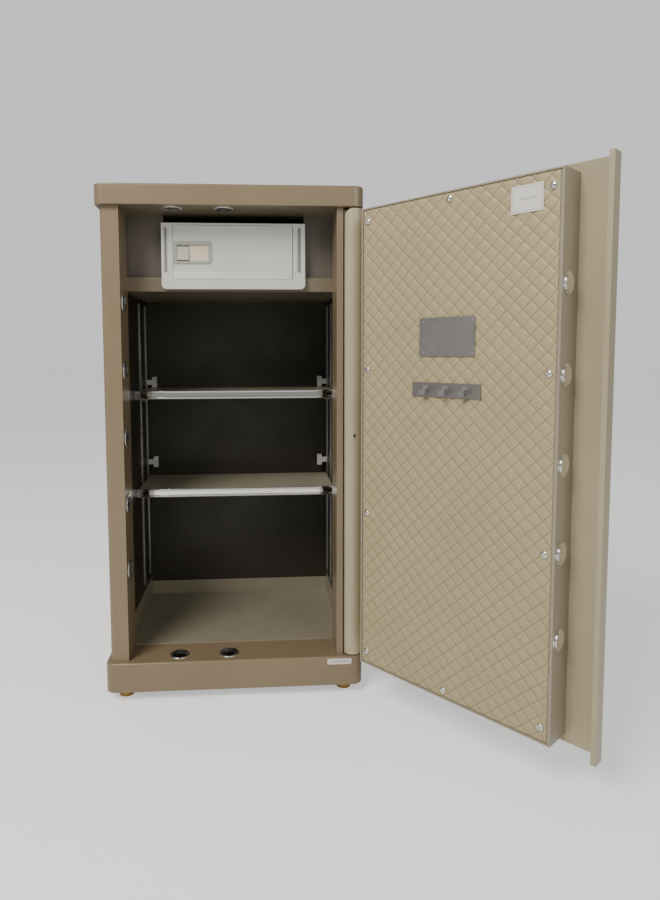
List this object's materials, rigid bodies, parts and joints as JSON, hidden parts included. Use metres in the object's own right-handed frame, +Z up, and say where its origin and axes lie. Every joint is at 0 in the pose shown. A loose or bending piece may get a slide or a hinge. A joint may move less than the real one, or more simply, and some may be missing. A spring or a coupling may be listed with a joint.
{
  "type": "upright office safe",
  "caption": "Upright steel office safe with one swing door on live bolts, quilted door lining, shelves and a small inner locker.",
  "frame": {"origin": "on the floor under the middle of the cabinet's footprint", "axes": "+Z up, +Y from the front of the cabinet to its back, +X to the right as seen from the front"},
  "size_m": [0.8082, 0.7697, 1],
  "materials": {
    "cabinet_paint": "gloss",
    "interior_paint": "satin",
    "plain_steel": "machined",
    "chrome": "polished",
    "zinc_steel": "zinc plated",
    "clip_plastic": "moulded",
    "fire_fill": "cast",
    "brass": "polished",
    "bronze": "machined",
    "label": "matt",
    "liner_fabric": "quilted",
    "brushed_steel": "brushed",
    "silver_paint": "metallic satin",
    "black_plastic": "gloss",
    "grey_plastic": "moulded",
    "beige_plastic": "moulded",
    "keypad_glass": "gloss"
  },
  "bodies": {
    "cabinet": {"top_cap": "cabinet_paint", "ceiling_plate": "plain_steel", "base_plinth": "cabinet_paint", "bottom_plate": "plain_steel", "fire_fill": "fire_fill", "outer_shell": "cabinet_paint", "inner_shell": "interior_paint", "left_column": "cabinet_paint", "right_column": "cabinet_paint", "socket_rings": "chrome", "feet": "brass", "serial_label": "label", "hinge_pins": "plain_steel", "pivot_washers": "bronze", "floor_pan": "interior_paint", "shelf_rails": "zinc_steel", "shelf_pegs": "zinc_steel", "shelf_clips": "clip_plastic", "lower_shelf": "interior_paint", "upper_shelf": "interior_paint", "lower_shelf_trim": "chrome", "upper_shelf_trim": "chrome", "partition": "interior_paint", "side_bulkheads": "cabinet_paint", "locker_bezel": "silver_paint", "locker_side_strips": "black_plastic", "locker_housing": "interior_paint", "locker_hinge_pins": "plain_steel"},
    "door": {"door_plate": "cabinet_paint", "hinge_cover": "cabinet_paint", "hinge_end_plugs": "cabinet_paint", "hinge_cover_screw": "chrome", "door_pan": "cabinet_paint", "door_filler": "fire_fill", "door_liner": "liner_fabric", "liner_screws": "chrome", "badge_plate": "brushed_steel", "badge_rivets": "brushed_steel", "hook_rail": "brushed_steel", "key_hooks": "chrome", "notice_label": "label", "bolt_collars": "chrome", "lock_panel": "black_plastic", "touch_keypad": "keypad_glass", "lock_case": "plain_steel"},
    "handle": {"handle": "chrome", "handle_spindle": "plain_steel", "crank_disc": "plain_steel"},
    "side_bolt_set": {"side_bolts": "chrome", "side_bolt_bar": "plain_steel"},
    "top_bolt_set": {"top_bolts": "chrome", "top_bolt_bar": "plain_steel"},
    "bottom_bolt_set": {"bottom_bolts": "chrome", "bottom_bolt_bar": "plain_steel"},
    "key_cover": {"key_cover": "chrome"},
    "key_cylinder": {"key_cylinder": "chrome"},
    "locker_door": {"locker_leaf": "silver_paint", "locker_latch_frame": "silver_paint"},
    "locker_button": {"locker_button": "grey_plastic"},
    "locker_slider": {"locker_slider": "beige_plastic"},
    "locker_latch": {"locker_latch_bolt": "plain_steel"}
  },
  "joints": [
    {"name": "door_hinge", "type": "hinge", "parent": "cabinet", "child": "door", "pos_m": [0.2355, -0.1815, 0.52], "axis": [0, 0, 1], "range_deg": [-129.7, 30]},
    {"name": "handle_turn", "type": "hinge", "parent": "door", "child": "handle", "pos_m": [0.42585, -0.41078, 0.5195], "axis": [-0.7694, -0.6388, 0], "range_deg": [0, 70]},
    {"name": "side_bolt_slide", "type": "slide", "parent": "door", "child": "side_bolt_set", "axis": [0.6388, -0.7694, 0], "range_m": [0, 0.024]},
    {"name": "top_bolt_slide", "type": "slide", "parent": "door", "child": "top_bolt_set", "axis": [0, 0, 1], "range_m": [0, 0.024]},
    {"name": "bottom_bolt_slide", "type": "slide", "parent": "door", "child": "bottom_bolt_set", "axis": [0, 0, -1], "range_m": [0, 0.024]},
    {"name": "key_cover_turn", "type": "hinge", "parent": "door", "child": "key_cover", "pos_m": [0.40177, -0.3489, 0.5865], "axis": [-0.7694, -0.6388, 0], "range_deg": [0, 90]},
    {"name": "key_turn", "type": "hinge", "parent": "door", "child": "key_cylinder", "pos_m": [0.3933, -0.35592, 0.5645], "axis": [-0.7694, -0.6388, 0], "range_deg": [0, 90]},
    {"name": "locker_hinge", "type": "hinge", "parent": "cabinet", "child": "locker_door", "pos_m": [0.1186, -0.1247, 0.885], "axis": [0, 0, 1], "range_deg": [0, 95]},
    {"name": "locker_slide", "type": "slide", "parent": "locker_door", "child": "locker_slider", "axis": [1, 0, 0], "range_m": [0, 0.005]},
    {"name": "locker_latch_slide", "type": "slide", "parent": "locker_door", "child": "locker_latch", "axis": [-1, 0, 0], "range_m": [0, 0.005]},
    {"name": "locker_press", "type": "slide", "parent": "locker_door", "child": "locker_button", "axis": [0, 1, 0], "range_m": [0, 0.002], "stiffness_N_per_m": 200}
  ],
  "couplings": [
    {"joint": "side_bolt_slide", "follows": "handle_turn", "m_per_rad": 0.01964},
    {"joint": "top_bolt_slide", "follows": "handle_turn", "m_per_rad": 0.01964},
    {"joint": "bottom_bolt_slide", "follows": "handle_turn", "m_per_rad": 0.01964},
    {"joint": "locker_latch_slide", "follows": "locker_slide", "ratio": 1}
  ]
}
